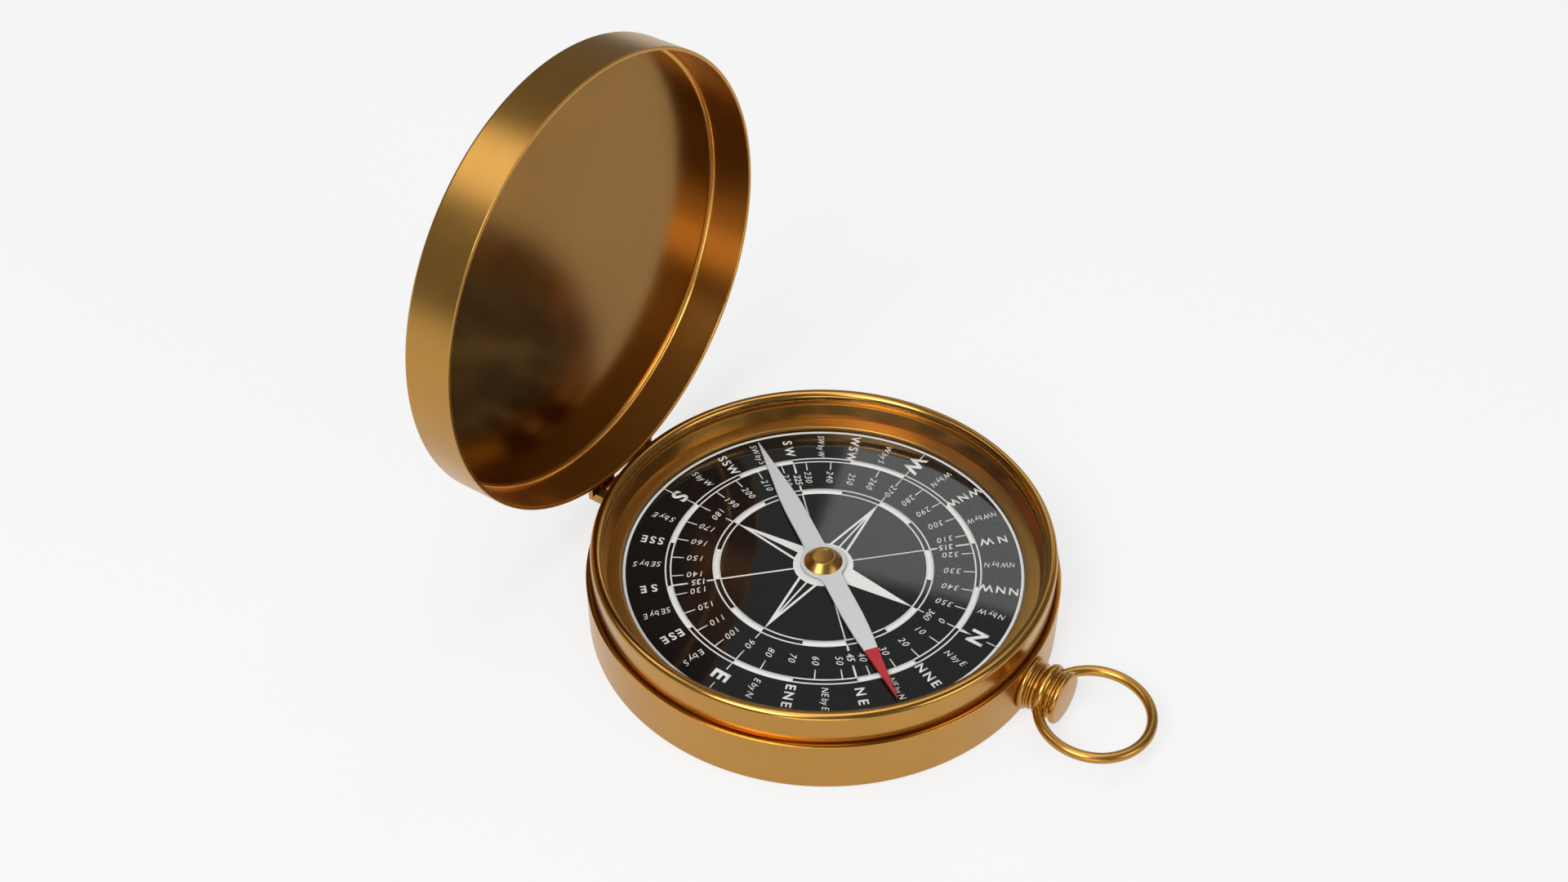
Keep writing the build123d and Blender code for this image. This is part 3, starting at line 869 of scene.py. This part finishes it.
def make_lid():
    bore = lid_radius_mm - lid_wall_mm
    panel = lid_back_mm - lid_panel_mm
    outline = [
        (0, lid_back_mm), (lid_radius_mm, lid_back_mm, lid_edge_round_mm),
        (lid_radius_mm, lid_rim_mm, lid_lip_round_mm), (bore, lid_rim_mm, lid_lip_round_mm),
        (bore, panel, lid_inner_round_mm), (0, panel),
    ]
    bm = turned(outline)
    # Faces of the lid: the flat panel inside takes the darker brass, which is painted shade; the inner
    # wall takes the lighter brass, which is painted light.
    for face in bm.faces:
        middle = face.calc_center_median()
        if abs(middle.z - panel * MM) < LEVEL:
            face.material_index = 1
        elif middle.xy.length < (bore + fine_round_mm) * MM and middle.z < panel * MM:
            face.material_index = 2
    upright = Matrix.Translation((0, 0, lid_middle_mm * MM)) @ Matrix.Rotation(-math.pi / 2, 4, "X")
    bmesh.ops.transform(bm, matrix=upright, verts=bm.verts[:])
    piece("lid_pan", bm, "lid", satin_brass, panel_brass_painted_shade, wall_brass_painted_light,
          replaces=["lid_shell"], slot="satin_brass")


def make_hinge():
    for hand in ("left", "right"):
        for part, body in (("lid", "lid"), ("case", "case")):
            node = f"{part}_hinge_{hand}"
            piece(f"{node}_block", soft_edged(node, hinge_edge_mm), body, satin_brass,
                  replaces=[node], slot="satin_brass")


# Pendant and bow

def bulge(start_mm, end_mm, radius_start, radius_middle, radius_end):
    """Round bead or waist between two places along the pendant."""
    middle_mm = 0.5 * (start_mm + end_mm)
    return arc((radius_start, start_mm), (radius_middle, middle_mm), (radius_end, end_mm))


def make_pendant():
    outline = [
        (0, shank_end_mm), (shank_mm, shank_end_mm), (shank_mm, foot_start_mm),
        *bulge(foot_start_mm, foot_end_mm, foot_mm, foot_bead_mm, groove_mm),
        *bulge(collar_start_mm, collar_end_mm, groove_mm, collar_mm, groove_mm),
        *bulge(collar_end_mm, waist_end_mm, groove_mm, waist_mm, groove_mm)[1:],
        *bulge(waist_end_mm, bead_end_mm, groove_mm, bead_mm, groove_mm)[1:],
        *bulge(fillet_ring_start_mm, fillet_ring_end_mm, groove_mm, fillet_ring_mm, groove_mm),
        (groove_mm, end_disc_start_mm), (end_disc_mm, end_disc_start_mm, end_disc_round_mm),
        (end_disc_mm, pendant_end_mm, end_disc_round_mm), (0, pendant_end_mm),
    ]
    bm = turned(outline, SMALL_ROUND_STEPS)
    forward = Matrix.Translation((0, 0, pendant_height_mm * MM)) @ Matrix.Rotation(math.pi / 2, 4, "X")
    bmesh.ops.transform(bm, matrix=forward, verts=bm.verts[:])
    piece("pendant", bm, "case", polished_brass, replaces=["pendant_stem"], slot="polished_brass")


def make_bow():
    bend_to_ring = bow_radius_mm - bow_bend_mm
    ring_middle = bow_bend_mm + math.sqrt(bend_to_ring ** 2 - bow_stub_start_mm ** 2)
    bend_turn = math.asin(bow_stub_start_mm / bend_to_ring)
    ring_turn = FULL_TURN - 2 * bend_turn
    bm = bmesh.new()
    end = bmesh.ops.create_circle(
        bm, cap_ends=True, segments=WIRE_SIDES, radius=bow_wire_mm * MM,
    )["verts"]
    across = Matrix.Translation((bow_stub_end_mm * MM, 0, 0)) @ Matrix.Rotation(math.pi / 2, 4, "Y")
    bmesh.ops.transform(bm, matrix=across, verts=end)
    loop = bm.edges[:]

    def run(loop, length_mm):
        """Carries the wire's end on along X."""
        made = bmesh.ops.extrude_edge_only(bm, edges=loop)["geom"]
        verts = [part for part in made if isinstance(part, bmesh.types.BMVert)]
        bmesh.ops.translate(bm, verts=verts, vec=(length_mm * MM, 0, 0))
        return [part for part in made if isinstance(part, bmesh.types.BMEdge)
                and all(vert in verts for vert in part.verts)]

    def bend(loop, centre_mm, turn, steps):
        """Carries the wire's end round a centre."""
        verts = list({vert for edge in loop for vert in edge.verts})
        made = bmesh.ops.spin(
            bm, geom=verts + loop, cent=(centre_mm[0] * MM, centre_mm[1] * MM, 0), axis=(0, 0, 1),
            angle=turn, steps=steps,
        )["geom_last"]
        return [part for part in made if isinstance(part, bmesh.types.BMEdge)]

    loop = run(loop, bow_stub_start_mm - bow_stub_end_mm)
    loop = bend(loop, (bow_stub_start_mm, bow_bend_mm), bend_turn, FILLET_STEPS)
    loop = bend(loop, (0, ring_middle), ring_turn, BOW_STEPS)
    loop = bend(loop, (-bow_stub_start_mm, bow_bend_mm), bend_turn, FILLET_STEPS)
    loop = run(loop, bow_stub_start_mm - bow_stub_end_mm)
    bmesh.ops.contextual_create(bm, geom=loop)
    hung = Matrix.Translation(bow_pivot) @ Matrix.Rotation(math.pi, 4, "Z")
    bmesh.ops.transform(bm, matrix=hung, verts=bm.verts[:])
    bmesh.ops.recalc_face_normals(bm, faces=bm.faces[:])
    piece("bow", bm, "bow", polished_brass, replaces=["bow_ring"], slot="polished_brass")


# Pieces that stay as the CAD made them

def finish_inner_pieces():
    inner = {
        "crystal_gasket": gasket_rubber, "spacer_ring": plain_brass, "base_plate": plain_brass,
        "pivot_post": plain_brass, "pivot_pin": pivot_steel, "pendant_nut": plain_brass,
        "needle_jewel": jewel_stone, "hinge_pin_left": plain_brass, "hinge_pin_right": plain_brass,
    }
    for node, finish in inner.items():
        kept = frame["nodes"][node]
        kept.data.materials.clear()
        kept.data.materials.append(finish)


# Floor, light and camera

floor_half = 6.0
floor_white = (0.88, 0.88, 0.88)
floor_seen_white = 0.96
floor_glow_share = 0.75     # how much of the seen floor glows, and the rest takes shadows
floor_mottle = 0.99         # tone of the floor's darker clouds, as a share of its white


def make_floor():
    """White floor. Seen straight, mirrored or through glass, part of it glows, for an even white."""
    finish, shader, place = new_finish("floor")
    nodes, links = finish.node_tree.nodes, finish.node_tree.links
    mottle = between(finish, noise(finish, place, 2), 0, 1)
    links.new(two_tone(finish, mottle, shade(floor_white, floor_mottle), floor_white),
              shader.inputs["Base Color"])
    shader.inputs["Roughness"].default_value = 0.9
    shader.inputs["Specular IOR Level"].default_value = 0.0
    glow = nodes.new("ShaderNodeEmission")
    glow.inputs["Strength"].default_value = floor_seen_white
    path = nodes.new("ShaderNodeLightPath")
    straight_or_mirrored = nodes.new("ShaderNodeMath")
    seen = nodes.new("ShaderNodeMath")
    seen.use_clamp = True
    share = nodes.new("ShaderNodeMath")
    share.operation = "MULTIPLY"
    share.inputs[1].default_value = floor_glow_share
    mix = nodes.new("ShaderNodeMixShader")
    links.new(path.outputs["Is Camera Ray"], straight_or_mirrored.inputs[0])
    links.new(path.outputs["Is Glossy Ray"], straight_or_mirrored.inputs[1])
    links.new(straight_or_mirrored.outputs["Value"], seen.inputs[0])
    links.new(path.outputs["Is Transmission Ray"], seen.inputs[1])
    links.new(seen.outputs["Value"], share.inputs[0])
    links.new(share.outputs["Value"], mix.inputs["Fac"])
    links.new(shader.outputs["BSDF"], mix.inputs[1])
    links.new(glow.outputs["Emission"], mix.inputs[2])
    links.new(mix.outputs["Shader"], nodes["Material Output"].inputs["Surface"])
    bm = bmesh.new()
    bmesh.ops.create_grid(bm, x_segments=2, y_segments=2, size=floor_half)
    mesh = bpy.data.meshes.new("floor")
    bm.to_mesh(mesh)
    bm.free()
    mesh.materials.append(finish)
    floor = bpy.data.objects.new("floor", mesh)
    bpy.context.scene.collection.objects.link(floor)


softbox_distance = 0.9
room_grey = 0.18


def softbox(name, bearing, elevation, width, height, brightness, roll=0.0):
    """Soft light aimed at the compass.

    Bearing is in degrees from +X towards +Y, and elevation in degrees from level.
    """
    turn, rise = math.radians(bearing), math.radians(elevation)
    outward = Vector((math.cos(rise) * math.cos(turn), math.cos(rise) * math.sin(turn), math.sin(rise)))
    lamp = bpy.data.lights.new(name, "AREA")
    lamp.shape = "RECTANGLE"
    lamp.size = width
    lamp.size_y = height
    lamp.energy = brightness * math.pi * width * height
    light = bpy.data.objects.new(name, lamp)
    light.location = outward * softbox_distance
    aimed = (-outward).to_track_quat("-Z", "Y").to_matrix() @ Matrix.Rotation(math.radians(roll), 3, "Z")
    light.rotation_euler = aimed.to_euler()
    bpy.context.scene.collection.objects.link(light)


def make_lights():
    softbox("key", 180, 45, 0.40, 0.33, 9.0)
    softbox("key_top", 180, 66, 0.39, 0.33, 2.9)
    softbox("right_low", 0, 25, 0.43, 0.30, 0.8)
    softbox("right_top", 0, 66, 0.39, 0.33, 1.5)
    softbox("front_low", 210, 8, 0.47, 0.27, 2.5)
    softbox("pendant_side", 270, 25, 0.43, 0.30, 3.2)
    softbox("dial_panel", 18.6, 37, 0.30, 0.33, 0.9, roll=-5)
    softbox("behind", 112, 52, 0.40, 0.33, 1.9)
    softbox("top", 0, 88, 0.36, 0.36, 2.2)


def make_world():
    world = bpy.data.worlds.new("studio")
    world.use_nodes = True
    background = world.node_tree.nodes["Background"]
    background.inputs["Color"].default_value = (room_grey, room_grey, room_grey, 1)
    background.inputs["Strength"].default_value = 1.0
    bpy.context.scene.world = world


camera_place = Vector((-0.1478, -0.0935, 0.1843))
camera_aim = Vector((0.01671, 0.01724, 0.007))
lens_mm = 45.0
sensor_mm = 36.0


def make_camera():
    data = bpy.data.cameras.new("camera")
    data.lens = lens_mm
    data.sensor_width = sensor_mm
    data.clip_start = 0.01
    camera = bpy.data.objects.new("camera", data)
    camera.location = camera_place
    camera.rotation_euler = (camera_aim - camera_place).to_track_quat("-Z", "Y").to_euler()
    bpy.context.scene.collection.objects.link(camera)
    bpy.context.scene.camera = camera


make_case()
make_bezel()
make_inner_rings()
make_crystal()
make_dial()
make_needle()
make_cap()
make_lid()
make_hinge()
make_pendant()
make_bow()
finish_inner_pieces()
make_floor()
make_world()
make_lights()
make_camera()
bpy.context.scene.view_settings.view_transform = "Standard"
